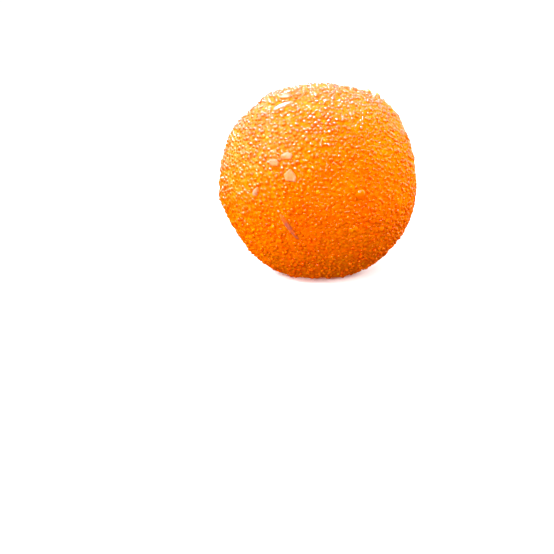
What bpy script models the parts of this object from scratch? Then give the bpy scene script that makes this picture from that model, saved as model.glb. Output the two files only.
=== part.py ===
"""Motichoor ladoo: a hand-rolled ball of tiny syrup-soaked boondi pearls, with melon seeds
and nut chips pressed into it.

Units are metres. The ball rests on the plane Z = 0, with its flat foot round the origin.
+Z is up, and the front of the ball faces -Y. Bearings on the ball are an azimuth, which is
0 at the front and grows towards +X, and an elevation above the ball's middle, in degrees.
"""

import math
import random

import bmesh
import bpy
from mathutils import Matrix, Vector

# ---- Driving dimensions ---------------------------------------------------------------

BALL_DIAMETER = 0.045
BALL_RADIUS = BALL_DIAMETER / 2
FOOT_DIAMETER = 0.016  # the flat that the warm ball settles on
CENTRE_HEIGHT = math.sqrt(BALL_RADIUS**2 - (FOOT_DIAMETER / 2) ** 2)

PEARL_COUNT = 1700
PEARL_JITTER = 0.28  # how far a pearl strays from an even layout, as a share of the spacing
PEARL_UNEVEN = 0.00016  # how far a pearl stands above or below the ball's surface
GROOVE_DEPTH = 0.00072  # how far the groove between pearls lies below the ball's surface
GROOVE_UNEVEN = 0.00014

# A topping is buried by this share of its own thickness.
TOPPING_SUNK = 0.60
TOPPING_SEGMENTS = 7
TOPPING_RINGS = 4

RANDOM_SEED = 7

# Length, width and thickness of each kind of topping.
TOPPING_SIZES = {
    "melon_seed": (0.0052, 0.0024, 0.0015),
    "seed_edge": (0.0070, 0.0014, 0.0015),
    "seed_tip": (0.0026, 0.0018, 0.0015),
    "nut_chip": (0.0034, 0.0025, 0.0017),
    "big_pearl": (0.0023, 0.0023, 0.0020),
    "proud_pearl": (0.0019, 0.0019, 0.0019),
}

# Azimuth, elevation, roll of the long side from level, and kind, on the front of the ball.
FRONT_TOPPINGS = (
    (-38, 54, 40, "melon_seed"),
    (-45, 62, 40, "nut_chip"),
    (-18, 11, -50, "nut_chip"),
    (-21, 22, 15, "seed_tip"),
    (-28, 18, 5, "seed_tip"),
    (-39, 1, 60, "seed_tip"),
    (-19, -18, -58, "seed_edge"),
    (22, 1, 0, "big_pearl"),
    (101, 55, 0, "proud_pearl"),
    (104, 60, 0, "proud_pearl"),
)

# The sides and back carry as many again, spaced by the golden angle.
HIDDEN_TOPPINGS = ("nut_chip", "melon_seed", "seed_tip", "big_pearl") * 2
HIDDEN_AZIMUTHS = (100, 262)
HIDDEN_ELEVATIONS = (-40, 62)

# Azimuth, elevation, height and angular width of the lumps and flats left by the palms.
PALM_LUMPS = (
    (98, 47, 0.00105, 15),
    (100, 80, -0.00050, 12),
    (-134, 73, -0.00055, 16),
    (-108, 60, 0.00045, 9),
    (-99, 31, 0.00050, 12),
    (-102, 44, -0.00050, 7),
    (91, 4, -0.00055, 14),
    (-88, -10, 0.00045, 10),
    (-83, -30, -0.00065, 14),
    (-20, 40, 0.00025, 24),
    (25, -18, 0.00030, 26),
    (165, 30, 0.00050, 26),
    (-160, -12, -0.00045, 24),
    (140, -30, 0.00040, 22),
)

LADOO_COLOUR = (0.95, 0.21, 0.004, 1.0)
LADOO_ROUGHNESS = 0.32
GOLDEN_ANGLE = math.pi * (3 - math.sqrt(5))


def clear_scene():
    for obj in list(bpy.data.objects):
        bpy.data.objects.remove(obj, do_unlink=True)


def new_collection(name):
    collection = bpy.data.collections.new(name)
    bpy.context.scene.collection.children.link(collection)
    return collection


def move_to(obj, collection):
    for holder in list(obj.users_collection):
        holder.objects.unlink(obj)
    collection.objects.link(obj)


def bearing(azimuth, elevation):
    """The unit vector from the ball's centre towards an azimuth and elevation in degrees."""
    turn = math.radians(azimuth)
    rise = math.radians(elevation)
    return Vector((math.sin(turn) * math.cos(rise), -math.cos(turn) * math.cos(rise), math.sin(rise)))


def ball_radius(direction):
    """Distance from the centre to the rolled surface, with the lumps that the palms leave."""
    radius = BALL_RADIUS
    for azimuth, elevation, height, width in PALM_LUMPS:
        away = direction.angle(bearing(azimuth, elevation))
        radius += height * math.exp(-((away / math.radians(width)) ** 2))
    return radius


def pearl_directions(draw):
    """Unit vectors to the pearls: an even golden-angle layout, each point nudged off its place."""
    spacing = math.sqrt(4 * math.pi / PEARL_COUNT)
    directions = []
    for index in range(PEARL_COUNT):
        height = 1 - 2 * (index + 0.5) / PEARL_COUNT
        ring = math.sqrt(1 - height**2)
        turn = index * GOLDEN_ANGLE
        point = Vector((ring * math.cos(turn), ring * math.sin(turn), height))
        nudge = Vector([draw.uniform(-1, 1) for _ in range(3)]) * PEARL_JITTER * spacing
        directions.append((point + nudge).normalized())
    return directions


def pearl_ball(material):
    """The rolled ball. Each pearl is a peak inside a ring of grooves: the hull of the pearls is
    poked at every face, and the edges that join two pearls are turned to join two grooves."""
    draw = random.Random(RANDOM_SEED)
    bm = bmesh.new()
    for direction in pearl_directions(draw):
        bm.verts.new(direction)
    bmesh.ops.convex_hull(bm, input=list(bm.verts))
    between_pearls = list(bm.edges)
    grooves = bmesh.ops.poke(bm, faces=list(bm.faces))["verts"]
    for vert in grooves:
        vert.co.normalize()
    bmesh.ops.rotate_edges(bm, edges=between_pearls)
    groove_set = set(grooves)
    for vert in bm.verts:
        offset = draw.uniform(-PEARL_UNEVEN, PEARL_UNEVEN)
        if vert in groove_set:
            offset = draw.uniform(-GROOVE_UNEVEN, GROOVE_UNEVEN) - GROOVE_DEPTH
        vert.co *= ball_radius(vert.co) + offset
    bmesh.ops.recalc_face_normals(bm, faces=list(bm.faces))
    mesh = bpy.data.meshes.new("ladoo")
    bm.to_mesh(mesh)
    bm.free()
    mesh.materials.append(material)
    mesh.shade_smooth()
    ladoo = bpy.data.objects.new("ladoo", mesh)
    ladoo.location = (0, 0, CENTRE_HEIGHT)
    return ladoo


def topping_places():
    """Every topping's azimuth, elevation, roll and kind: the front's, then the hidden sides'."""
    places = list(FRONT_TOPPINGS)
    first, last = HIDDEN_AZIMUTHS
    low, high = HIDDEN_ELEVATIONS
    for index, kind in enumerate(HIDDEN_TOPPINGS):
        azimuth = first + (last - first) * (index + 0.5) / len(HIDDEN_TOPPINGS)
        share = (index * GOLDEN_ANGLE / math.tau) % 1
        places.append((azimuth, low + (high - low) * share, math.degrees(index * GOLDEN_ANGLE), kind))
    return places


def add_topping(azimuth, elevation, roll, kind, collection):
    """A small ellipsoid that lies on the ball, thin side out, sunk into the pearls."""
    length, width, thickness = TOPPING_SIZES[kind]
    out = bearing(azimuth, elevation)
    level = Vector((math.cos(math.radians(azimuth)), math.sin(math.radians(azimuth)), 0))
    frame = Matrix((level, out.cross(level), out)).transposed()
    bpy.ops.mesh.primitive_uv_sphere_add(segments=TOPPING_SEGMENTS, ring_count=TOPPING_RINGS, radius=0.5)
    topping = bpy.context.object
    topping.name = f"topping_{len(collection.objects):02d}"
    topping.data.shade_smooth()
    reach = ball_radius(out) + thickness * (0.5 - TOPPING_SUNK)
    place = Matrix.Translation(out * reach + Vector((0, 0, CENTRE_HEIGHT)))
    turn = frame.to_4x4() @ Matrix.Rotation(math.radians(roll), 4, "Z")
    topping.matrix_world = place @ turn @ Matrix.Diagonal((length, width, thickness, 1))
    move_to(topping, collection)


def add_foot_cutter(collection):
    """A block whose top is the plane Z = 0. It takes off what the resting ball flattens."""
    bpy.ops.mesh.primitive_cube_add(size=BALL_DIAMETER, location=(0, 0, -BALL_DIAMETER / 2))
    cutter = bpy.context.object
    cutter.name = "foot_cutter"
    cutter.hide_render = True
    cutter.display_type = "WIRE"
    move_to(cutter, collection)
    return cutter


def apply_modifiers(obj):
    """Swaps the object's mesh for the one that its modifiers make."""
    graph = bpy.context.evaluated_depsgraph_get()
    made = bpy.data.meshes.new_from_object(obj.evaluated_get(graph))
    obj.modifiers.clear()
    obj.data = made


def boondi_material():
    material = bpy.data.materials.new("pressed_boondi")
    material.use_nodes = True
    shader = material.node_tree.nodes["Principled BSDF"]
    shader.inputs["Base Color"].default_value = LADOO_COLOUR
    shader.inputs["Roughness"].default_value = LADOO_ROUGHNESS
    shader.inputs["Metallic"].default_value = 0.0
    return material


def main():
    clear_scene()
    parts = new_collection("motichoor_ladoo")
    toppings = new_collection("toppings")
    cutters = new_collection("cutters")

    ladoo = pearl_ball(boondi_material())
    parts.objects.link(ladoo)

    for place in topping_places():
        add_topping(*place, toppings)
    union = ladoo.modifiers.new("press_in_toppings", "BOOLEAN")
    union.operation = "UNION"
    union.operand_type = "COLLECTION"
    union.collection = toppings
    apply_modifiers(ladoo)
    for topping in list(toppings.objects):
        bpy.data.objects.remove(topping, do_unlink=True)

    cut = ladoo.modifiers.new("flatten_foot", "BOOLEAN")
    cut.operation = "DIFFERENCE"
    cut.object = add_foot_cutter(cutters)


main()
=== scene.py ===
# %% [markdown]
# # A motichoor ladoo
#
# A motichoor ladoo is a ball of tiny gram-flour pearls, called boondi. They are fried, soaked in
# sugar syrup and ghee, mixed with melon seeds and chopped nuts, and rolled in the palms while warm.
# This lesson dresses a plain solid of the ball. It makes the pressed mass of pearls, the seeds and
# nuts in it, and the pearls that lie loose on it, each as its own piece with its own finish.

import math
import random

import bmesh
import bpy
import numpy as np
from mathutils import Matrix, Vector, noise


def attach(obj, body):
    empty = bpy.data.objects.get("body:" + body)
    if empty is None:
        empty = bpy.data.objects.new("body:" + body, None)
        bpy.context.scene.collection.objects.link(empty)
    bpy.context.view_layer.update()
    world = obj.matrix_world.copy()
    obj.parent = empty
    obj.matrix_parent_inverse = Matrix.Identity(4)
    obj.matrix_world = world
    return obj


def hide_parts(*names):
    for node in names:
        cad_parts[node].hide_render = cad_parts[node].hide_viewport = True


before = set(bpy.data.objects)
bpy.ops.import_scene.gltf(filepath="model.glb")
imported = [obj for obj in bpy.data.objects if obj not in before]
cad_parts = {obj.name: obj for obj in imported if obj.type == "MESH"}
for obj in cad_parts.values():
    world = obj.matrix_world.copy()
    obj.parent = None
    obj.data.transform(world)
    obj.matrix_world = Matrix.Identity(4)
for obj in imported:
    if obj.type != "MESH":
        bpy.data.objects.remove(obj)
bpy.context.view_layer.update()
NODE = "ladoo"
BODY = "root"

# %% [markdown]
# ## The sizes of the ball
#
# Everything is worked out from a few real sizes, in metres. The ball is 45 mm across and rests on
# a flat of 16 mm, so its middle is a little lower than its radius. A place on the ball is given
# as on a globe: an azimuth, 0 at the front and growing to the right, and an elevation. The palms
# leave low lumps and flats, and each is a soft bump with a place, a height and an angular width.

# %% Sizes and palm lumps
MM = 0.001
BALL_RADIUS = 22.5 * MM
FOOT_RADIUS = 8 * MM
CENTRE = Vector((0, 0, math.sqrt(BALL_RADIUS**2 - FOOT_RADIUS**2)))
GOLDEN_ANGLE = math.pi * (3 - math.sqrt(5))
PALM_LUMPS = (  # azimuth, elevation, height, and angular width in degrees
    (98, 47, 1.05 * MM, 15),
    (100, 80, -0.50 * MM, 12),
    (-134, 73, -0.55 * MM, 16),
    (-108, 60, 0.45 * MM, 9),
    (-99, 31, 0.50 * MM, 12),
    (-102, 44, -0.50 * MM, 7),
    (91, 4, -0.55 * MM, 14),
    (-88, -10, 0.45 * MM, 10),
    (-83, -30, -0.65 * MM, 14),
    (-20, 40, 0.25 * MM, 24),
    (25, -18, 0.30 * MM, 26),
    (165, 30, 0.50 * MM, 26),
    (-160, -12, -0.45 * MM, 24),
    (140, -30, 0.40 * MM, 22),
)
print("middle of the ball is", round(CENTRE.z / MM, 2), "mm up")


# %% Finding a place on the ball
def bearing(azimuth, elevation):
    """The unit vector from the ball's middle towards an azimuth and elevation in degrees."""
    turn = math.radians(azimuth)
    rise = math.radians(elevation)
    return Vector((math.sin(turn) * math.cos(rise), -math.cos(turn) * math.cos(rise), math.sin(rise)))


def golden_place(index, count, azimuths, elevations):
    """The azimuth and elevation of one of count places, spread so that no two line up."""
    share = (index * GOLDEN_ANGLE / math.tau) % 1
    azimuth = azimuths[0] + (azimuths[1] - azimuths[0]) * (index + 0.5) / count
    return azimuth, elevations[0] + (elevations[1] - elevations[0]) * share


def rolled_radius(directions):
    """Distance from the ball's middle to its rolled surface, for rows of unit vectors."""
    radius = np.full(len(directions), BALL_RADIUS)
    for azimuth, elevation, height, width in PALM_LUMPS:
        away = np.arccos(np.clip(directions @ np.array(bearing(azimuth, elevation)), -1, 1))
        radius += height * np.exp(-((away / math.radians(width)) ** 2))
    return radius


front = np.array([bearing(0, 0)])
print("front of the ball is", round(float(rolled_radius(front)[0]) / MM, 2), "mm from its middle")

# %% [markdown]
# ## Two small helpers
#
# Shader trees and Geometry Nodes trees are both built from nodes, so one function adds a node to
# either. It sets the node's own properties, then fills its inputs: a socket is linked, and any
# other value is typed in. A colour is written as the hex value that a painter reads off a screen,
# and is turned to the linear numbers that the renderer adds up.


# %% Helpers for nodes and colours
def add(tree, kind, inputs=(), **settings):
    """Adds a node to a tree. inputs maps a socket's name or number to a socket or a value."""
    node = tree.nodes.new(kind)
    for name, value in settings.items():
        setattr(node, name, value)
    for key, value in dict(inputs).items():
        if isinstance(value, bpy.types.NodeSocket):
            tree.links.new(value, node.inputs[key])
        else:
            node.inputs[key].default_value = value
    return node


def linear(hex_colour):
    """An sRGB hex colour such as "#FF8000" as linear red, green, blue and alpha."""
    parts = [int(hex_colour[i : i + 2], 16) / 255 for i in (1, 3, 5)]
    return [p / 12.92 if p <= 0.04045 else ((p + 0.055) / 1.055) ** 2.4 for p in parts] + [1.0]


print("boondi orange is", [round(part, 3) for part in linear("#EA6800")[:3]], "in linear light")

# %% [markdown]
# ## The finish of syrup-soaked boondi
#
# Fried gram flour is a rough crumb, but here it has drunk syrup and ghee. Light goes into it and
# comes out more orange (subsurface scattering), and the film of ghee on top gives small sharp
# glints (a clear coat). No two pearls took up the same colour, so a number, the tint, picks each
# one's shade, from a deep to a lighter orange. The grooves all get one set orange instead, which is
# painted light and shade: a touch lighter than the middle shade on the mass and on most loose
# pearls, which lifts the shade that falls there, and deeper on the light pearls, a painted shade
# round their foot. Slow patches of the ball are a touch redder or yellower.
#
# A loose pearl is real geometry, and carries its tint and its own height as attributes. The fused
# pearls of the mass are too many for that, so a Voronoi texture draws them: each cell is a pearl,
# its colour is the tint, and the distance to its middle gives the dome and the groove. A fine
# noise, 0.4 mm across, is the crumb. It roughens the film so that every glint breaks up. The body
# below the film gets only a small share of that relief, because the light in it spreads it out.

# %% Sizes inside the boondi
FUSED_PEARL = 1.0 * MM
DOME_HEIGHT = 0.9 * MM
DOME_EDGE = 0.75  # where the groove is deepest, in pearl widths from a pearl's middle
DOME_TOP = 0.15  # up to here a pearl has its full colour
CRUMB_WIDTH = 0.4 * MM
CRUMB_HEIGHT = 0.02 * MM
BODY_SHARE = 0.15  # the part of the relief that the body below the film gets
PATCH_WIDTH = 7 * MM
NOISE_SPAN = (0.3, 0.7)  # a noise seldom leaves this span
PATCH_HUES = (0.493, 0.507)  # 0.5 keeps the hue, less is redder and more is yellower
SCATTER = (1.0, 0.55, 0.10)  # red light goes furthest into boondi, and blue hardly at all
BODY_ROUGHNESS = 0.45
FILM_ROUGHNESS = 0.08
GHEE_INDEX = 1.46  # how strongly ghee bends and so reflects light
print("a fused pearl is", round(FUSED_PEARL / MM, 2), "mm wide")


# %% The boondi finish
def pearl_marks(tree, fused):
    """Sockets with each pearl's tint, its height from 0 to 1, and its dome's depth."""
    if not fused:
        tint = add(tree, "ShaderNodeAttribute", attribute_name="tint").outputs["Fac"]
        rise = add(tree, "ShaderNodeAttribute", attribute_name="rise").outputs["Fac"]
        return tint, rise, None
    kneaded = add(tree, "ShaderNodeAttribute", attribute_name="kneaded").outputs["Vector"]
    cells = add(
        tree, "ShaderNodeTexVoronoi", {"Vector": kneaded, "Scale": 1 / FUSED_PEARL, "Randomness": 1.0}
    )
    tint = add(tree, "ShaderNodeSeparateColor", {0: cells.outputs["Color"]}).outputs["Red"]
    away = cells.outputs["Distance"]
    rise = add(
        tree,
        "ShaderNodeMapRange",
        {"Value": away, "From Min": DOME_EDGE, "From Max": DOME_TOP},
        interpolation_type="SMOOTHSTEP",
    ).outputs["Result"]
    depth = add(tree, "ShaderNodeMath", {0: away, 1: away}, operation="MULTIPLY").outputs[0]
    return tint, rise, depth


def pearl_colour(tree, place, tint, rise, tints, painted_groove_shade):
    """A socket with the colour: the pearl's shade, redder or yellower in patches, and the groove."""
    shades = add(tree, "ShaderNodeValToRGB", {"Fac": tint})
    ramp = shades.color_ramp
    ramp.elements.new(0.5)
    for index, hex_colour in enumerate(tints):
        ramp.elements[index].position = index / (len(tints) - 1)
        ramp.elements[index].color = linear(hex_colour)
    patches = add(
        tree, "ShaderNodeTexNoise", {"Vector": place, "Scale": 1 / PATCH_WIDTH, "Detail": 2.0}
    )
    hue = add(
        tree,
        "ShaderNodeMapRange",
        {
            "Value": patches.outputs["Fac"],
            "From Min": NOISE_SPAN[0],
            "From Max": NOISE_SPAN[1],
            "To Min": PATCH_HUES[0],
            "To Max": PATCH_HUES[1],
        },
    )
    uneven = add(
        tree,
        "ShaderNodeHueSaturation",
        {"Hue": hue.outputs["Result"], "Color": shades.outputs["Color"]},
    )
    # The grooves, and the lower half of a loose pearl, get one set colour: painted light and shade.
    mix = {0: rise, 6: linear(painted_groove_shade), 7: uneven.outputs["Color"]}
    return add(tree, "ShaderNodeMix", mix, data_type="RGBA").outputs[2]


def boondi_finish(name, tints, painted_groove_shade, scatter_share, scatter_depth, film, fused=False):
    """Syrup-soaked boondi: a soft orange glow from inside, and sharp glints off the film of ghee.

    tints runs from the deepest to the lightest pearl's colour, and film is the ghee's share."""
    material = bpy.data.materials.new(name)
    material.use_nodes = True
    tree = material.node_tree
    shader = tree.nodes["Principled BSDF"]
    place = add(tree, "ShaderNodeTexCoord").outputs["Object"]
    tint, rise, depth = pearl_marks(tree, fused)
    colour = pearl_colour(tree, place, tint, rise, tints, painted_groove_shade)
    tree.links.new(colour, shader.inputs["Base Color"])

    crumb = add(
        tree, "ShaderNodeTexNoise", {"Vector": place, "Scale": 1 / CRUMB_WIDTH, "Detail": 2.0}
    )
    for socket, share in (("Normal", BODY_SHARE), ("Coat Normal", 1.0)):
        relief = {"Height": crumb.outputs["Fac"], "Distance": CRUMB_HEIGHT * share}
        if fused:
            domes = add(
                tree, "ShaderNodeBump", {"Height": depth, "Distance": DOME_HEIGHT * share}, invert=True
            )
            relief["Normal"] = domes.outputs["Normal"]
        bump = add(tree, "ShaderNodeBump", relief)
        tree.links.new(bump.outputs["Normal"], shader.inputs[socket])

    shader.inputs["Roughness"].default_value = BODY_ROUGHNESS
    shader.inputs["Specular IOR Level"].default_value = 0.0
    shader.inputs["Subsurface Weight"].default_value = scatter_share
    shader.inputs["Subsurface Radius"].default_value = SCATTER
    shader.inputs["Subsurface Scale"].default_value = scatter_depth
    shader.inputs["Coat Weight"].default_value = film
    shader.inputs["Coat Roughness"].default_value = FILM_ROUGHNESS
    shader.inputs["Coat IOR"].default_value = GHEE_INDEX
    return material


# %% The three boondi materials
# The pressed mass gives a deep even glow, with few glints, because its pearls ran together.
# Its groove colour, a touch yellower than its middle shade, is painted light that lifts the shade in
# the grooves.
PRESSED = boondi_finish(
    "pressed_boondi_mass", ("#E45A00", "#E86200", "#EC6E00"), "#E86600", 0.85, 2.4 * MM, 0.2, fused=True
)
# A loose pearl is a little deeper orange, and its full film of ghee gives it a bright speck.
# Its groove colour, a touch lighter than its middle shade, is painted light on its shaded lower half.
PEARL = boondi_finish(
    "syrup_soaked_boondi", ("#DE5600", "#E05A00", "#E46200"), "#E26000", 0.5, 1.0 * MM, 1.0
)
# A pearl that was fried less is a paler, yellower orange under the same film.
# Its groove colour is deeper than all its shades: painted shade on its lower half.
LIGHT_PEARL = boondi_finish(
    "pale_boondi", ("#E46400", "#E86E00", "#F08A00"), "#E06000", 0.5, 1.0 * MM, 1.0
)
print("finishes:", PRESSED.name, PEARL.name, LIGHT_PEARL.name)

# %% [markdown]
# ## The rolled skin
#
# The ball needs an even mesh all over, with no poles, because a pole's crowded faces would show
# as a star in the relief. A cube whose faces are cut into a grid and blown up to a ball gives
# that. Stretching the grid by a tangent first keeps the cells near the cube's corners as large as
# the others. Each point is then moved out to the rolled surface, lumps and flats included, and
# nothing goes below the foot.


# %% A ball from a cut cube
def rolled_skin(name, cuts):
    """A new object with the rolled ball's smooth surface, each side of its cube cut so often."""
    bm = bmesh.new()
    bmesh.ops.create_cube(bm, size=2)
    bmesh.ops.subdivide_edges(bm, edges=list(bm.edges), cuts=cuts, use_grid_fill=True)
    mesh = bpy.data.meshes.new(name)
    bm.to_mesh(mesh)
    bm.free()
    points = np.empty(len(mesh.vertices) * 3)
    mesh.vertices.foreach_get("co", points)
    points = np.tan(points.reshape(-1, 3) * math.pi / 4)
    points /= np.linalg.norm(points, axis=1, keepdims=True)
    points = points * rolled_radius(points)[:, None] + np.array(CENTRE)
    points[:, 2] = np.maximum(points[:, 2], 0)
    mesh.vertices.foreach_set("co", points.ravel())
    skin = bpy.data.objects.new(name, mesh)
    bpy.context.scene.collection.objects.link(skin)
    return skin


# %% [markdown]
# ## Growing things on the skin
#
# What repeats on the ball follows a rule, so Geometry Nodes make it. Three helpers serve every
# tree: one opens a tree with named inputs, one presses what lies too low up onto the foot's
# plane, as the plate does, and one runs the tree and keeps its result as a plain mesh.


# %% Helpers for Geometry Nodes
def new_tree(name, **inputs):
    """An empty Geometry Nodes tree with a geometry coming in and going out, and named inputs."""
    tree = bpy.data.node_groups.new(name, "GeometryNodeTree")
    tree.interface.new_socket("Geometry", in_out="INPUT", socket_type="NodeSocketGeometry")
    for label, kind in inputs.items():
        tree.interface.new_socket(label, in_out="INPUT", socket_type="NodeSocket" + kind)
    tree.interface.new_socket("Geometry", in_out="OUTPUT", socket_type="NodeSocketGeometry")
    return tree


def close_tree(tree, geometry, finish):
    """Ends a tree: presses the geometry flat at the foot, smooths it and gives it its finish."""
    at = add(tree, "ShaderNodeSeparateXYZ", {0: add(tree, "GeometryNodeInputPosition").outputs[0]})
    height = add(tree, "ShaderNodeMath", {0: at.outputs["Z"], 1: 0.0}, operation="MAXIMUM")
    pressed = {"X": at.outputs["X"], "Y": at.outputs["Y"], "Z": height.outputs[0]}
    flat = add(tree, "ShaderNodeCombineXYZ", pressed)
    rested = add(tree, "GeometryNodeSetPosition", {"Geometry": geometry, "Position": flat.outputs[0]})
    smooth = add(tree, "GeometryNodeSetShadeSmooth", {"Geometry": rested.outputs[0]})
    whole = add(tree, "GeometryNodeRealizeInstances", {"Geometry": smooth.outputs[0]})
    finished = add(tree, "GeometryNodeSetMaterial", {"Geometry": whole.outputs[0], "Material": finish})
    add(tree, "NodeGroupOutput", {"Geometry": finished.outputs[0]})
    return tree


def grow(obj, tree, **values):
    """Runs a tree on an object with these inputs and leaves the result as its plain mesh."""
    modifier = obj.modifiers.new(tree.name, "NODES")
    modifier.node_group = tree
    for socket in tree.interface.items_tree:
        if socket.in_out == "INPUT" and socket.name in values:
            modifier[socket.identifier] = values[socket.name]
    graph = bpy.context.evaluated_depsgraph_get()
    made = bpy.data.meshes.new_from_object(obj.evaluated_get(graph))
    obj.modifiers.remove(modifier)
    obj.data = made
    made.name = obj.name
    print(obj.name, "has", sum(len(face.vertices) - 2 for face in made.polygons), "triangles")
    return obj


# %% [markdown]
# ## The pressed mass
#
# Under and between the loose pearls lies the mass that the palms pressed together. Its pearls are
# fused, so it is one surface with a relief. The tree first kneads space a little with a noise, so
# that the pearls aren't all alike, and keeps the kneaded place as an attribute for the finish. A
# Voronoi texture then splits that space into pearls. Each point sinks by the square of its
# distance to its pearl's middle, which makes domes, and Smooth F1 fills the grooves as syrup does.
# Each pearl also sinks by a depth of its own, and a fine noise makes its dome lumpy.

# %% Relief of the pressed mass
MASS_CUTS = 127
DOME_DEPTH = 0.30 * MM
MASS_SUNK = -0.03 * MM  # negative, so tops start this far above the rolled skin, and then sink
PEARL_UNEVEN = 0.10 * MM
LUMP_WIDTH = 0.7 * MM
LUMP_HEIGHT = 0.08 * MM
KNEAD_WIDTH = 1.2 * MM
KNEAD_REACH = 0.20 * MM
SYRUP_FILL = 0.08  # how far the syrup rounds out the grooves


def relief_tree():
    """A tree that turns a smooth skin into a mass of fused pearls."""
    tree = new_tree("pressed_relief", Pearl="Float", Depth="Float", Sunk="Float", Finish="Material")
    given = add(tree, "NodeGroupInput").outputs
    place = add(tree, "GeometryNodeInputPosition").outputs[0]
    palms = {"Vector": place, "Scale": 1 / KNEAD_WIDTH, "Detail": 1.0}
    squeeze = add(tree, "ShaderNodeTexNoise", palms)
    kneaded = add(
        tree,
        "ShaderNodeVectorMath",
        {0: squeeze.outputs["Color"], 1: (KNEAD_REACH,) * 3, 2: place},
        operation="MULTIPLY_ADD",
    )
    marked = add(
        tree,
        "GeometryNodeStoreNamedAttribute",
        {"Geometry": given["Geometry"], "Name": "kneaded", "Value": kneaded.outputs[0]},
        data_type="FLOAT_VECTOR",
        domain="POINT",
    )
    kept = add(
        tree, "GeometryNodeInputNamedAttribute", {"Name": "kneaded"}, data_type="FLOAT_VECTOR"
    ).outputs[0]
    scale = add(tree, "ShaderNodeMath", {0: 1.0, 1: given["Pearl"]}, operation="DIVIDE")
    cells = add(
        tree,
        "ShaderNodeTexVoronoi",
        {"Vector": kept, "Scale": scale.outputs[0], "Smoothness": SYRUP_FILL, "Randomness": 1.0},
        feature="SMOOTH_F1",
    )
    away = cells.outputs["Distance"]
    square = add(tree, "ShaderNodeMath", {0: away, 1: away}, operation="MULTIPLY")
    sink = add(
        tree,
        "ShaderNodeMath",
        {0: square.outputs[0], 1: given["Depth"], 2: given["Sunk"]},
        operation="MULTIPLY_ADD",
    )
    own = add(tree, "ShaderNodeSeparateXYZ", {0: cells.outputs["Color"]})
    uneven = add(
        tree,
        "ShaderNodeMath",
        {0: own.outputs["Y"], 1: PEARL_UNEVEN, 2: sink.outputs[0]},
        operation="MULTIPLY_ADD",
    )
    fine = add(tree, "ShaderNodeTexNoise", {"Vector": place, "Scale": 1 / LUMP_WIDTH, "Detail": 1.0})
    rough = add(
        tree,
        "ShaderNodeMath",
        {0: fine.outputs["Fac"], 1: LUMP_HEIGHT, 2: uneven.outputs[0]},
        operation="MULTIPLY_ADD",
    )
    inward = add(tree, "ShaderNodeMath", {0: rough.outputs[0], 1: -1.0}, operation="MULTIPLY")
    normal = add(tree, "GeometryNodeInputNormal").outputs["Normal"]
    push = add(tree, "ShaderNodeVectorMath", {0: normal, "Scale": inward.outputs[0]}, operation="SCALE")
    raised = add(
        tree, "GeometryNodeSetPosition", {"Geometry": marked.outputs[0], "Offset": push.outputs[0]}
    )
    return close_tree(tree, raised.outputs[0], given["Finish"])


mass = grow(
    rolled_skin("pressed_mass", MASS_CUTS),
    relief_tree(),
    Pearl=FUSED_PEARL,
    Depth=DOME_DEPTH,
    Sunk=MASS_SUNK,
    Finish=PRESSED,
)

# %% [markdown]
# ## Where the seeds and nut chips lie
#
# A few melon seeds, chips of nut and large pearls show on the ball, each pressed in flat with its
# thin side out. The palms press seeds and chips in so far that pearls lap over their edges, while
# the round pearls stay a little prouder. The front ones have their own places, and the sides and
# back carry eight more, spread by the golden angle, which never lines two of them up.

# %% Places of the toppings
CHIP_SUNK = 0.71  # a seed or chip is pressed in by this share of its thickness
LARGE_SUNK = 0.60  # and a large pearl by this one
TOPPING_SIZES = {  # length, width and thickness
    "melon_seed": (5.2 * MM, 2.4 * MM, 1.5 * MM),
    "seed_edge": (7.0 * MM, 1.4 * MM, 1.5 * MM),
    "seed_tip": (2.6 * MM, 1.8 * MM, 1.5 * MM),
    "seed_end": (2.6 * MM, 1.8 * MM, 1.5 * MM),
    "nut_chip": (3.4 * MM, 2.5 * MM, 1.7 * MM),
    "yellow_chip": (3.4 * MM, 2.5 * MM, 1.7 * MM),
    "big_pearl": (2.3 * MM, 2.3 * MM, 2.0 * MM),
    "proud_pearl": (1.9 * MM, 1.9 * MM, 1.9 * MM),
}
FRONT_TOPPINGS = (  # azimuth, elevation, roll of the long side from level, and kind
    (-38, 54, 40, "melon_seed"),
    (-45, 62, 40, "yellow_chip"),
    (-18, 11, -50, "nut_chip"),
    (-21, 22, 15, "seed_tip"),
    (-28, 18, 5, "seed_tip"),
    (-39, 1, 60, "seed_end"),
    (-19, -18, -58, "seed_edge"),
    (22, 1, 0, "big_pearl"),
    (101, 55, 0, "proud_pearl"),
    (104, 60, 0, "proud_pearl"),
)
HIDDEN_TOPPINGS = ("nut_chip", "melon_seed", "seed_tip", "big_pearl") * 2
HIDDEN_AZIMUTHS = (100, 262)
HIDDEN_ELEVATIONS = (-40, 62)


def topping_places():
    """Every topping's azimuth, elevation, roll and kind: the front's, then the hidden sides'."""
    places = list(FRONT_TOPPINGS)
    for index, kind in enumerate(HIDDEN_TOPPINGS):
        place = golden_place(index, len(HIDDEN_TOPPINGS), HIDDEN_AZIMUTHS, HIDDEN_ELEVATIONS)
        places.append((*place, math.degrees(index * GOLDEN_ANGLE), kind))
    return places


def seat(azimuth, elevation, roll, thickness, sunk):
    """The matrix that lays a thing on the ball there, its own Z pointing out of the ball."""
    out = bearing(azimuth, elevation)
    level = Vector((math.cos(math.radians(azimuth)), math.sin(math.radians(azimuth)), 0))
    axes = Matrix((level, out.cross(level), out)).transposed().to_4x4()
    reach = float(rolled_radius(np.array([out]))[0]) + thickness * (0.5 - sunk)
    turn = Matrix.Rotation(math.radians(roll), 4, "Z")
    return Matrix.Translation(CENTRE + out * reach) @ axes @ turn


print(len(topping_places()), "seeds, chips and large pearls")

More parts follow.
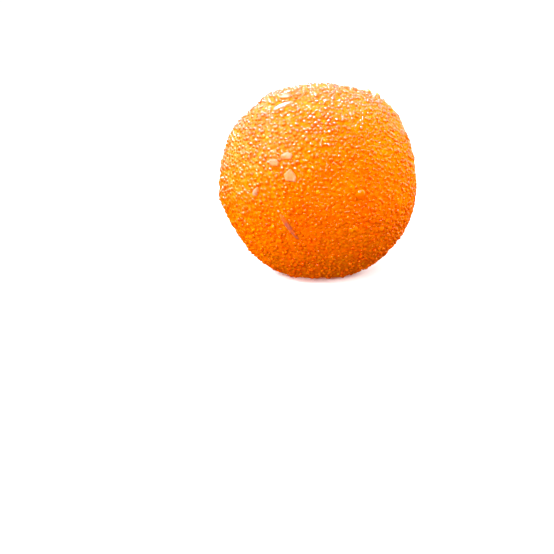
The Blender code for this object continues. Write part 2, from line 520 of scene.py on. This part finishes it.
# %% [markdown]
# ## The shapes of the toppings
#
# A melon seed is a flat drop, so it is a sphere squeezed along a drop's outline. A nut chip was
# broken with a knife, so it starts as a low block with a few uneven corners, whose edges are then
# rounded off a little. A large pearl is a ball with soft lumps. They are modelled in mesh code,
# because each kind needs only a few moves, and the shapes are then laid on the ball and joined.
# A seed tip is a bit that broke off, so it has a chip's shape too, only smaller. A chip's numbers
# are shares of its own length, width and thickness.

# %% Sizes of the shapes
SEED_SEGMENTS = 20
SEED_RINGS = 12
SEED_POINT = 0.35  # how much narrower a seed is towards its pointed end than its blunt one
CHIP_CORNERS = 5
CORNER_STRAY = 0.2  # how far a corner strays round the chip, in steps from corner to corner
CORNER_REACH = (0.48, 0.66)
TOP_REACH = (0.78, 0.95)  # the top corner's reach, as a share of the bottom one's
TOP_HEIGHT = (0.3, 0.5)
CHIP_ROUNDING = 0.06
LUMP_SHARE = 0.10  # how far a large pearl swells or shrinks
LUMP_SCALE = 3


# %% Shapes of the toppings
def drop_shape(length, width, thickness, point=SEED_POINT):
    """A melon seed: a flat drop, narrower at one end by the given share."""
    bm = bmesh.new()
    bmesh.ops.create_uvsphere(bm, u_segments=SEED_SEGMENTS, v_segments=SEED_RINGS, radius=0.5)
    bmesh.ops.rotate(bm, verts=bm.verts, cent=(0, 0, 0), matrix=Matrix.Rotation(math.pi / 2, 3, "Y"))
    for vert in bm.verts:
        narrow = 1 - point * (vert.co.x + 0.5)
        vert.co = Vector((vert.co.x * length, vert.co.y * width * narrow, vert.co.z * thickness))
    return bm


def chip_shape(length, width, thickness, draw):
    """A chip broken off a nut: a low block with uneven corners and softened edges."""
    bm = bmesh.new()
    for index in range(CHIP_CORNERS):
        turn = math.tau * (index + draw.uniform(-CORNER_STRAY, CORNER_STRAY)) / CHIP_CORNERS
        reach = draw.uniform(*CORNER_REACH)
        lean = draw.uniform(*TOP_REACH)
        for height, share in ((-0.5, 1.0), (draw.uniform(*TOP_HEIGHT), lean)):
            across = math.cos(turn) * reach * share * length
            bm.verts.new((across, math.sin(turn) * reach * share * width, height * thickness))
    hull = bmesh.ops.convex_hull(bm, input=list(bm.verts))
    bmesh.ops.delete(bm, geom=hull["geom_interior"], context="VERTS")
    rounding = CHIP_ROUNDING * width
    bmesh.ops.bevel(
        bm, geom=list(bm.edges), offset=rounding, segments=2, profile=0.5, affect="EDGES"
    )
    bmesh.ops.recalc_face_normals(bm, faces=list(bm.faces))
    return bm


def pearl_shape(length, width, thickness):
    """A large pearl: a ball with soft lumps. Its size shifts the noise, so sizes differ in lumps."""
    bm = bmesh.new()
    bmesh.ops.create_icosphere(bm, subdivisions=3, radius=0.5)
    shift = Vector((length, width, thickness)) * 1000
    for vert in bm.verts:
        swell = 1 + LUMP_SHARE * noise.noise(vert.co * LUMP_SCALE + shift)
        vert.co = Vector((vert.co.x * length, vert.co.y * width, vert.co.z * thickness)) * swell
    return bm


# %% Joining what lies on the ball
BARE_HEIGHT = 0.5 * MM  # syrup creeps up a topping's side to here
LARGE_TINT = 0.8  # large pearls take a shade near the light end


def join_shapes(name, shapes, finish):
    """One object out of several (bmesh, matrix) pairs.

    rise goes from 0 at the rolled surface to 1 where no syrup creeps, and tint picks a shade."""
    joined = bmesh.new()
    for bm, matrix in shapes:
        bm.transform(matrix)
        scrap = bpy.data.meshes.new("scrap")
        bm.to_mesh(scrap)
        bm.free()
        joined.from_mesh(scrap)
        bpy.data.meshes.remove(scrap)
    mesh = bpy.data.meshes.new(name)
    joined.to_mesh(mesh)
    joined.free()
    # On a large pearl, rise also sets where its painted groove shade ends.
    points = np.array([vert.co - CENTRE for vert in mesh.vertices])
    reach = np.linalg.norm(points, axis=1)
    bare = (reach - rolled_radius(points / reach[:, None])) / BARE_HEIGHT
    tints = np.full(len(reach), LARGE_TINT)
    mesh.attributes.new("rise", "FLOAT", "POINT").data.foreach_set("value", np.clip(bare, 0, 1))
    mesh.attributes.new("tint", "FLOAT", "POINT").data.foreach_set("value", tints)
    mesh.shade_smooth()
    mesh.materials.append(finish)
    obj = bpy.data.objects.new(name, mesh)
    bpy.context.scene.collection.objects.link(obj)
    print(name, "has", len(mesh.polygons), "faces in", len(shapes), "pieces")
    return obj


# %% [markdown]
# ## Finishes of the seeds and nuts
#
# A peeled melon seed is ivory, waxy and a little see-through. A chip of cashew is drier and more
# matt, and so are seed tips and ends, where the dry inside shows. One chip lay in saffron syrup and
# is stained yellow. The seed that lies on its edge is mauve-brown, partly its thin skin and partly
# a dull sheen painted into its colour. All have drunk orange syrup: most where they sink into the
# mass, and in blots on top. So each finish mixes a clean colour with a syrupy one, by the height
# above the mass and by a soft noise.

# %% Sizes inside the seeds and nuts
BLOT_CONTRAST = -3.0  # where the noise is high, a blot of syrup takes the clean colour away
BLOT_LEVEL = 1.3
NUT_GRAIN = 0.12 * MM
NUT_DEPTH = 0.8 * MM  # how far light goes into a seed or nut
NUT_SCATTER = (1.0, 0.7, 0.4)
NUT_SCATTER_SHARE = 0.4
NUT_GLOSS = 0.1
NUT_FILM_ROUGHNESS = 0.15


# %% Seed and nut materials
def topping_finish(name, clean, syrupy, blot, roughness, film):
    """A pale food piece, orange where it sinks into the mass and in blots of the given width."""
    material = bpy.data.materials.new(name)
    material.use_nodes = True
    tree = material.node_tree
    shader = tree.nodes["Principled BSDF"]
    place = add(tree, "ShaderNodeTexCoord").outputs["Object"]
    rise = add(tree, "ShaderNodeAttribute", attribute_name="rise").outputs["Fac"]
    blots = add(tree, "ShaderNodeTexNoise", {"Vector": place, "Scale": 1 / blot, "Detail": 3.0})
    dry = add(
        tree,
        "ShaderNodeMath",
        {0: blots.outputs["Fac"], 1: BLOT_CONTRAST, 2: BLOT_LEVEL},
        operation="MULTIPLY_ADD",
    )
    bare = add(tree, "ShaderNodeMath", {0: rise, 1: dry.outputs[0]}, operation="ADD", use_clamp=True)
    mix = {0: bare.outputs[0], 6: linear(syrupy), 7: linear(clean)}
    colour = add(tree, "ShaderNodeMix", mix, data_type="RGBA").outputs[2]
    tree.links.new(colour, shader.inputs["Base Color"])
    bump = add(tree, "ShaderNodeBump", {"Height": blots.outputs["Fac"], "Distance": NUT_GRAIN})
    tree.links.new(bump.outputs["Normal"], shader.inputs["Normal"])
    shader.inputs["Roughness"].default_value = roughness
    shader.inputs["Specular IOR Level"].default_value = NUT_GLOSS
    shader.inputs["Subsurface Weight"].default_value = NUT_SCATTER_SHARE
    shader.inputs["Subsurface Radius"].default_value = NUT_SCATTER
    shader.inputs["Subsurface Scale"].default_value = NUT_DEPTH
    shader.inputs["Coat Weight"].default_value = film
    shader.inputs["Coat Roughness"].default_value = NUT_FILM_ROUGHNESS
    return material


# Ivory and waxy: soft at its edges, with a low shine from a thin film.
IVORY = topping_finish("peeled_melon_seed", "#A89484", "#CC6818", 0.6 * MM, 0.4, 0.1)
# Cream and nearly dry: matt, with a faint film that hardly shines.
CASHEW = topping_finish("broken_cashew", "#AA7E58", "#CC6818", 1.3 * MM, 0.55, 0.05)
# Stained yellow-orange right through: soft, with no film at all.
SAFFRON = topping_finish("saffron_stained_nut", "#C46800", "#D05C00", 1.2 * MM, 0.45, 0.0)
# Mauve-brown, partly the seed's skin and partly a painted sheen: dull, with a faint wet shine.
MAUVE = topping_finish("melon_seed_skin", "#9C5044", "#C85C14", 1.4 * MM, 0.4, 0.05)
print("finishes:", IVORY.name, CASHEW.name, SAFFRON.name, MAUVE.name)

# %% Lay the seeds and chips on the ball
KIND_FINISH = {
    "melon_seed": IVORY,
    "seed_tip": CASHEW,
    "seed_end": CASHEW,
    "seed_edge": MAUVE,
    "nut_chip": CASHEW,
    "yellow_chip": SAFFRON,
}
FLAT_DROPS = ("melon_seed", "seed_edge", "seed_end")
DRAW_SEED = 11
draw = random.Random(DRAW_SEED)
toppings = []
for kind, finish in KIND_FINISH.items():
    length, width, thickness = TOPPING_SIZES[kind]
    shapes = []
    for azimuth, elevation, roll, which in topping_places():
        if which != kind:
            continue
        if kind in FLAT_DROPS:
            shape = drop_shape(length, width, thickness)
        else:
            shape = chip_shape(length, width, thickness, draw)
        shapes.append((shape, seat(azimuth, elevation, roll, thickness, CHIP_SUNK)))
    toppings.append(join_shapes(kind + "s", shapes, finish))

# %% [markdown]
# ## Large pearls and thin shreds
#
# Some drops of batter fell together in the hot ghee and made a larger pearl. A few of them show.
# The big one at the front right and those at the back are as orange as the rest. Two that stand
# proud at the upper right edge, and three small ones low on the right, are paler, so they are a
# piece of their own: partly they fried less, and partly the paler colour is a painted highlight
# for the light they catch there. Slicing nuts also leaves thin pale shreds, which stick flat to
# the ball. The front ones have their own places, the rest a rule.

# %% Large pearls
# Three small pearls low on the right. With the two proud ones they take the paler finish, partly as a
# painted highlight.
BRIGHT_PEARLS = ((19.8, -18.2), (17.6, -19.5), (38.5, -20.5))
BRIGHT_SIZE = (1.5 * MM, 1.5 * MM, 1.3 * MM)
BRIGHT_SUNK = 0.75
large = {"big_pearl": [], "proud_pearl": []}
for azimuth, elevation, roll, which in topping_places():
    if which in large:
        size = TOPPING_SIZES[which]
        place = seat(azimuth, elevation, roll, size[2], LARGE_SUNK)
        large[which].append((pearl_shape(*size), place))
for azimuth, elevation in BRIGHT_PEARLS:
    place = seat(azimuth, elevation, 0, BRIGHT_SIZE[2], BRIGHT_SUNK)
    large["proud_pearl"].append((pearl_shape(*BRIGHT_SIZE), place))
toppings.append(join_shapes("large_pearls", large["big_pearl"], PEARL))
toppings.append(join_shapes("bright_pearls", large["proud_pearl"], LIGHT_PEARL))

# %% Nut shreds
SHRED_WIDTH = 0.34 * MM
SHRED_SUNK = 0.1
SHRED_POINT = 0.5
FRONT_SHREDS = (  # azimuth, elevation, roll and length in millimetres
    (0, 31, 75, 1.9),
    (-3, 23, 78, 1.3),
    (3, 17, 50, 1.1),
    (8, 18, -35, 1.0),
    (3, -6, 60, 1.2),
    (14, -8, 8, 1.4),
    (-11, 33, 20, 1.2),
)
REST_SHREDS = 16
REST_LENGTHS = (1.0, 2.0)
REST_AZIMUTHS = (60, 300)
REST_ELEVATIONS = (-45, 65)
shreds = []


def lay_shred(azimuth, elevation, length, roll):
    """Adds one shred to the list, a thin drop of that length in millimetres."""
    shape = drop_shape(length * MM, SHRED_WIDTH, SHRED_WIDTH, SHRED_POINT)
    shreds.append((shape, seat(azimuth, elevation, roll, SHRED_WIDTH, SHRED_SUNK)))


for azimuth, elevation, roll, length in FRONT_SHREDS:
    lay_shred(azimuth, elevation, length, roll)
for index in range(REST_SHREDS):
    place = golden_place(index, REST_SHREDS, REST_AZIMUTHS, REST_ELEVATIONS)
    lay_shred(*place, draw.uniform(*REST_LENGTHS), draw.uniform(0, 180))
shred_piece = join_shapes("nut_shreds", shreds, CASHEW)

# %% [markdown]
# ## The loose pearls
#
# Over the mass lie more than four thousand pearls that didn't fuse. They are the same small ball
# again and again, so Geometry Nodes scatter them: Poisson Disk keeps any two about a pearl's width
# apart, and each gets its own size, squash, turn and tint. A pearl is so small that a ball of 48
# triangles is enough.
#
# The palms pressed the pearls in, most of them deep, and left a few proud. So each one's height
# is a drawn number raised to a power, which is mostly small and seldom large. One side was rubbed
# smooth, and there no pearl stands high. A slow noise also sinks some patches deeper, as on any
# hand-rolled ball, and a finer one dents each pearl. They keep clear of the seeds and the foot.
#
# One more drawn number, the chance, splits them into three pieces and leaves a few out. The deep
# and the warm pearls share a finish, and are apart only because one piece would be too heavy. The
# few light ones are paler.

# %% What a loose pearl is like
PEARL_RADIUS = 0.50 * MM
PEARL_SPACING = 0.90 * MM
PEARL_SEGMENTS = 8
PEARL_RINGS = 4
PEARL_DENT_WIDTH = 0.7 * MM
PEARL_DENT_REACH = 0.7 * MM
TOPPING_GAP = 0.05 * MM
FOOT_GAP = 0.35 * MM
PEARL_CUTS = 40
MOST_PEARLS = 6e6  # a square metre: more than the spacing lets in, so the spacing decides
LOOSE_SHARE = {"deep_pearls": (0.0, 0.48), "warm_pearls": (0.48, 0.95), "light_pearls": (0.95, 0.98)}
DRAWN = {  # the lowest and highest value, and the seed that draws it
    "chance": (0.0, 1.0, 21),
    "size": (0.70, 1.15, 22),
    "squash": (0.50, 0.80, 23),
    "spin": (0.0, math.tau, 24),
    "tint": (0.0, 1.0, 25),
    "lift": (0.35, 1.0, 26),
}
PROUD_HEIGHT = 0.38 * MM
PROUD_POWER = 3.0
SMOOTH_SIDE = (62, 12)  # azimuth and elevation
SMOOTH_HEIGHT = 0.20 * MM  # what the proudest pearls are worn down to there
SMOOTH_SPAN = (0.4, 0.9)  # cosine of the angle from it, where wearing down starts and ends
HOLLOW_WIDTH = 5 * MM
HOLLOW_DEPTH = 0.15 * MM
HOLLOW_SPAN = (0.46, 0.32)  # noise values where a hollow starts and where it is deepest
# Below a loose pearl's middle its colour gives way to the painted groove shade.
RISE_SPAN = (-0.1, 0.75)  # a pearl's middle is 0 and its top 1: its colour starts, and is full
PEARL_SEED = 4
print("a loose pearl is", [round(2 * PEARL_RADIUS * s / MM, 2) for s in DRAWN["size"][:2]], "mm wide")


# %% The pearl scatterer
def may_stay(tree, given, place, chance):
    """A socket that is 1 where a pearl of this kind may lie, clear of the toppings and the foot."""
    near = add(
        tree,
        "GeometryNodeCollectionInfo",
        {"Collection": given["Toppings"]},
        transform_space="RELATIVE",
    )
    solid = add(tree, "GeometryNodeRealizeInstances", {"Geometry": near.outputs[0]})
    gap = add(tree, "GeometryNodeProximity", {0: solid.outputs[0]}, target_element="FACES")
    height = add(tree, "ShaderNodeSeparateXYZ", {0: place})
    keep = 1.0
    for value, limit, comparison in (
        (gap.outputs["Distance"], TOPPING_GAP, "GREATER_THAN"),
        (height.outputs["Z"], FOOT_GAP, "GREATER_THAN"),
        (chance, given["From"], "GREATER_THAN"),
        (chance, given["To"], "LESS_THAN"),
    ):
        passed = add(tree, "ShaderNodeMath", {0: value, 1: limit}, operation=comparison).outputs[0]
        keep = add(tree, "ShaderNodeMath", {0: passed, 1: keep}, operation="MULTIPLY").outputs[0]
    return keep


def sunk_points(tree, spread, place, lift, tall):
    """Sinks the scattered points so that each pearl's top stands at its own height."""
    slow = add(tree, "ShaderNodeTexNoise", {"Vector": place, "Scale": 1 / HOLLOW_WIDTH, "Detail": 1.0})
    hollows = add(
        tree,
        "ShaderNodeMapRange",
        {
            "Value": slow.outputs["Fac"],
            "From Min": HOLLOW_SPAN[0],
            "From Max": HOLLOW_SPAN[1],
            "To Max": -HOLLOW_DEPTH,
        },
    )
    seldom = add(tree, "ShaderNodeMath", {0: lift, 1: PROUD_POWER}, operation="POWER")
    towards = {0: spread.outputs["Normal"], 1: bearing(*SMOOTH_SIDE)}
    facing = add(tree, "ShaderNodeVectorMath", towards, operation="DOT_PRODUCT")
    proud = add(
        tree,
        "ShaderNodeMapRange",
        {
            "Value": facing.outputs["Value"],
            "From Min": SMOOTH_SPAN[0],
            "From Max": SMOOTH_SPAN[1],
            "To Min": PROUD_HEIGHT,
            "To Max": SMOOTH_HEIGHT,
        },
    )
    stand = add(
        tree,
        "ShaderNodeMath",
        {0: seldom.outputs[0], 1: proud.outputs["Result"], 2: hollows.outputs[0]},
        operation="MULTIPLY_ADD",
    )
    sunk = add(tree, "ShaderNodeMath", {0: stand.outputs[0], 1: tall}, operation="SUBTRACT")
    push = add(
        tree,
        "ShaderNodeVectorMath",
        {0: spread.outputs["Normal"], "Scale": sunk.outputs[0]},
        operation="SCALE",
    )
    moved = {"Geometry": spread.outputs["Points"], "Offset": push.outputs[0]}
    return add(tree, "GeometryNodeSetPosition", moved).outputs[0]


def keep_on_each(tree, geometry, **values):
    """Stores values on each instance, so that its points still know them once it is a mesh."""
    for name, (value, data_type) in values.items():
        geometry = add(
            tree,
            "GeometryNodeStoreNamedAttribute",
            {"Geometry": geometry, "Name": name, "Value": value},
            data_type=data_type,
            domain="INSTANCE",
        ).outputs[0]
    return geometry


def dented(tree, geometry, place):
    """Pushes the points about by a fine noise, so that no pearl is a perfect ball."""
    fine = {"Vector": place, "Scale": 1 / PEARL_DENT_WIDTH, "Detail": 1.0}
    dent = add(tree, "ShaderNodeTexNoise", fine)
    centred = add(
        tree, "ShaderNodeVectorMath", {0: dent.outputs["Color"], 1: (0.5,) * 3}, operation="SUBTRACT"
    )
    reach = {0: centred.outputs[0], "Scale": PEARL_DENT_REACH}
    shift = add(tree, "ShaderNodeVectorMath", reach, operation="SCALE")
    moved = {"Geometry": geometry, "Offset": shift.outputs[0]}
    return add(tree, "GeometryNodeSetPosition", moved).outputs[0]


def marked_by_height(tree, geometry, place):
    """Stores rise, 0 below a pearl's middle and 1 near its top, and drops what it is made from."""
    kept = {}
    for name, data_type in (("seat", "FLOAT_VECTOR"), ("out", "FLOAT_VECTOR"), ("tall", "FLOAT")):
        kept[name] = add(
            tree, "GeometryNodeInputNamedAttribute", {"Name": name}, data_type=data_type
        ).outputs[0]
    arm = add(tree, "ShaderNodeVectorMath", {0: place, 1: kept["seat"]}, operation="SUBTRACT")
    upright = {0: arm.outputs[0], 1: kept["out"]}
    along = add(tree, "ShaderNodeVectorMath", upright, operation="DOT_PRODUCT").outputs["Value"]
    share = add(tree, "ShaderNodeMath", {0: along, 1: kept["tall"]}, operation="DIVIDE")
    span = {"Value": share.outputs[0], "From Min": RISE_SPAN[0], "From Max": RISE_SPAN[1]}
    rise = add(tree, "ShaderNodeMapRange", span)
    geometry = add(
        tree,
        "GeometryNodeStoreNamedAttribute",
        {"Geometry": geometry, "Name": "rise", "Value": rise.outputs["Result"]},
        data_type="FLOAT",
        domain="POINT",
    ).outputs[0]
    for name in kept:
        used = {"Geometry": geometry, "Name": name}
        geometry = add(tree, "GeometryNodeRemoveAttribute", used).outputs[0]
    return geometry


# %% The pearl tree
def pearl_tree():
    """A tree that scatters one kind of loose pearl over a smooth skin."""
    tree = new_tree(
        "boondi_pearls",
        Spacing="Float",
        Radius="Float",
        From="Float",
        To="Float",
        Seed="Int",
        Toppings="Collection",
        Finish="Material",
    )
    given = add(tree, "NodeGroupInput").outputs
    place = add(tree, "GeometryNodeInputPosition").outputs[0]
    drawn = {}
    for name, (low, high, seed) in DRAWN.items():
        limits = {2: low, 3: high, "Seed": seed}
        drawn[name] = add(tree, "FunctionNodeRandomValue", limits, data_type="FLOAT").outputs[1]
    spread = add(
        tree,
        "GeometryNodeDistributePointsOnFaces",
        {
            "Mesh": given["Geometry"],
            "Distance Min": given["Spacing"],
            "Density Max": MOST_PEARLS,
            "Seed": given["Seed"],
        },
        distribute_method="POISSON",
    )
    radius = add(tree, "ShaderNodeMath", {0: drawn["size"], 1: given["Radius"]}, operation="MULTIPLY")
    wide = radius.outputs[0]
    tall = add(tree, "ShaderNodeMath", {0: wide, 1: drawn["squash"]}, operation="MULTIPLY").outputs[0]
    turn = add(tree, "FunctionNodeAxisAngleToRotation", {"Axis": (0, 0, 1), "Angle": drawn["spin"]})
    facing = add(
        tree,
        "FunctionNodeRotateRotation",
        {0: spread.outputs["Rotation"], 1: turn.outputs[0]},
        rotation_space="LOCAL",
    )
    sides = {"Segments": PEARL_SEGMENTS, "Rings": PEARL_RINGS, "Radius": 1.0}
    ball = add(tree, "GeometryNodeMeshUVSphere", sides)
    scale = add(tree, "ShaderNodeCombineXYZ", {"X": wide, "Y": wide, "Z": tall})
    copies = add(
        tree,
        "GeometryNodeInstanceOnPoints",
        {
            "Points": sunk_points(tree, spread, place, drawn["lift"], tall),
            "Selection": may_stay(tree, given, place, drawn["chance"]),
            "Instance": ball.outputs[0],
            "Rotation": facing.outputs[0],
            "Scale": scale.outputs[0],
        },
    )
    stored = keep_on_each(
        tree,
        copies.outputs[0],
        tint=(drawn["tint"], "FLOAT"),
        seat=(place, "FLOAT_VECTOR"),
        out=(spread.outputs["Normal"], "FLOAT_VECTOR"),
        tall=(tall, "FLOAT"),
    )
    meshed = add(tree, "GeometryNodeRealizeInstances", {"Geometry": stored}).outputs[0]
    marked = marked_by_height(tree, dented(tree, meshed, place), place)
    return close_tree(tree, marked, given["Finish"])


# %% Scatter the pearls
topping_box = bpy.data.collections.new("toppings")
for piece in toppings:
    topping_box.objects.link(piece)
scatter = pearl_tree()
pearls = []
for name, (low, high) in LOOSE_SHARE.items():
    pearls.append(
        grow(
            rolled_skin(name, PEARL_CUTS),
            scatter,
            Spacing=PEARL_SPACING,
            Radius=PEARL_RADIUS,
            From=low,
            To=high,
            Seed=PEARL_SEED,
            Toppings=topping_box,
            Finish=LIGHT_PEARL if name == "light_pearls" else PEARL,
        )
    )
bpy.data.collections.remove(topping_box)

# %% [markdown]
# ## Riding on the frame
#
# The ladoo is one solid that never moves apart, so every piece rides on its one body. The pressed
# mass stands for the plain solid, which is then hidden.

# %% Tie the pieces to the frame
for piece in [mass, *toppings, shred_piece, *pearls]:
    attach(piece, BODY)
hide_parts(NODE)
print("replaced", NODE)

# %% [markdown]
# ## Floor, light and camera
#
# The floor is a plain pale disc, wide enough to run out of the picture. The ball stands in a
# white studio. Four soft lights model it, strongest from the left, and a wide weak sun overhead
# evens out its top. Three more lights are seen only in the film of ghee. A strong one gives the
# bright glints at the upper left, a wide one in front gives every pearl its small speck, both
# faintly pink, and another wide one behind the right edge gives it a pale sheen. The room below
# is darker and orange, as it is where ladoos lie in a heap and light each other. The camera looks
# a little down at the ball through a long lens, which keeps its outline nearly a circle.

# %% Floor
FLOOR_RADIUS = 6.0
FLOOR_SIDES = 96
bpy.ops.mesh.primitive_circle_add(vertices=FLOOR_SIDES, radius=FLOOR_RADIUS, fill_type="NGON")
floor = bpy.context.object
floor.name = "floor"
# Matt paper is an even white with no shine.
paper = bpy.data.materials.new("matt_white_paper")
paper.use_nodes = True
paper.node_tree.nodes["Principled BSDF"].inputs["Base Color"].default_value = linear("#FAFAF9")
paper.node_tree.nodes["Principled BSDF"].inputs["Roughness"].default_value = 0.9
floor.data.materials.append(paper)
floor.visible_glossy = False
floor.visible_diffuse = False

# %% Lights
LIGHT_DISTANCE = 0.45
GLINT_PINK = "#FFD8FF"
SPECK_PINK = "#FFDCFC"
SHEEN_PEACH = "#FFE8E4"


def soft_light(name, azimuth, elevation, width, watts, for_glints, hex_colour="#FFFFFF"):
    """A square area light that faces the ball's middle, either for the glints or for the rest."""
    lamp = bpy.data.lights.new(name, "AREA")
    lamp.size = width
    lamp.energy = watts
    lamp.color = linear(hex_colour)[:3]
    light = bpy.data.objects.new(name, lamp)
    light.location = CENTRE + bearing(azimuth, elevation) * LIGHT_DISTANCE
    light.rotation_euler = bearing(azimuth, elevation).to_track_quat("Z", "Y").to_euler()
    light.visible_glossy = for_glints
    light.visible_diffuse = not for_glints
    bpy.context.scene.collection.objects.link(light)
    return light


soft_light("key", -88, 34, 0.22, 3.9, False)
soft_light("front", -28, 6, 0.30, 3.3, False)
soft_light("fill", 78, 28, 0.22, 2.4, False)
soft_light("top", -10, 80, 0.22, 1.5, False)
soft_light("glints", -114, 58, 0.22, 27.0, True, GLINT_PINK)
soft_light("soft_glints", -30, 64, 0.60, 8.5, True, SPECK_PINK)
soft_light("sheen", 140, 28, 0.60, 4.5, True, SHEEN_PEACH)

# %% A soft sun overhead
SUN_STRENGTH = 0.6
SUN_WIDTH = math.radians(60)
overhead = bpy.data.lights.new("overhead", "SUN")
overhead.energy = SUN_STRENGTH
overhead.angle = SUN_WIDTH
sun = bpy.data.objects.new("overhead", overhead)
sun.visible_glossy = False
bpy.context.scene.collection.objects.link(sun)

# %% The white studio
SKY_LIGHT = (1.0, 1.0, 1.0, 1.0)
GROUND_LIGHT = (0.45, 0.25, 0.16, 1.0)
SEEN_WHITE = (1.05, 1.05, 1.05, 1.0)
HORIZON = 0.1  # how high above and below level the one blends into the other
world = bpy.data.worlds.new("studio")
bpy.context.scene.world = world
world.use_nodes = True
air = world.node_tree
direction = add(air, "ShaderNodeTexCoord").outputs["Generated"]
upward = add(air, "ShaderNodeSeparateXYZ", {0: direction}).outputs["Z"]
above = add(air, "ShaderNodeMapRange", {"Value": upward, "From Min": -HORIZON, "From Max": HORIZON})
halves = {0: above.outputs["Result"], 6: GROUND_LIGHT, 7: SKY_LIGHT}
room = add(air, "ShaderNodeMix", halves, data_type="RGBA").outputs[2]
seen = add(air, "ShaderNodeLightPath").outputs["Is Camera Ray"]
shown = add(air, "ShaderNodeMix", {0: seen, 6: room, 7: SEEN_WHITE}, data_type="RGBA").outputs[2]
air.links.new(shown, air.nodes["Background"].inputs["Color"])
world.cycles_visibility.glossy = False
bpy.context.scene.view_settings.view_transform = "Standard"

# %% Camera
PICTURE_PX = 554
BALL_RADIUS_PX = 98.7  # where the ball lies in the finished picture
BALL_CENTRE_PX = (318.8, 181.0)
SENSOR = 36
LENS = 100
PITCH = 12.5
seen_width = BALL_RADIUS * PICTURE_PX / BALL_RADIUS_PX
distance = seen_width * LENS / SENSOR
pixel = seen_width / PICTURE_PX
camera_data = bpy.data.cameras.new("camera")
camera_data.lens = LENS
camera_data.sensor_width = SENSOR
camera = bpy.data.objects.new("camera", camera_data)
bpy.context.scene.collection.objects.link(camera)
bpy.context.scene.camera = camera
back = bearing(0, PITCH)
right = Vector((1, 0, 0))
up = back.cross(right)
aim = CENTRE - right * (BALL_CENTRE_PX[0] - PICTURE_PX / 2) * pixel
aim += up * (BALL_CENTRE_PX[1] - PICTURE_PX / 2) * pixel
camera.location = aim + back * distance
camera.rotation_euler = back.to_track_quat("Z", "Y").to_euler()
print("camera is", round(distance / MM), "mm away")
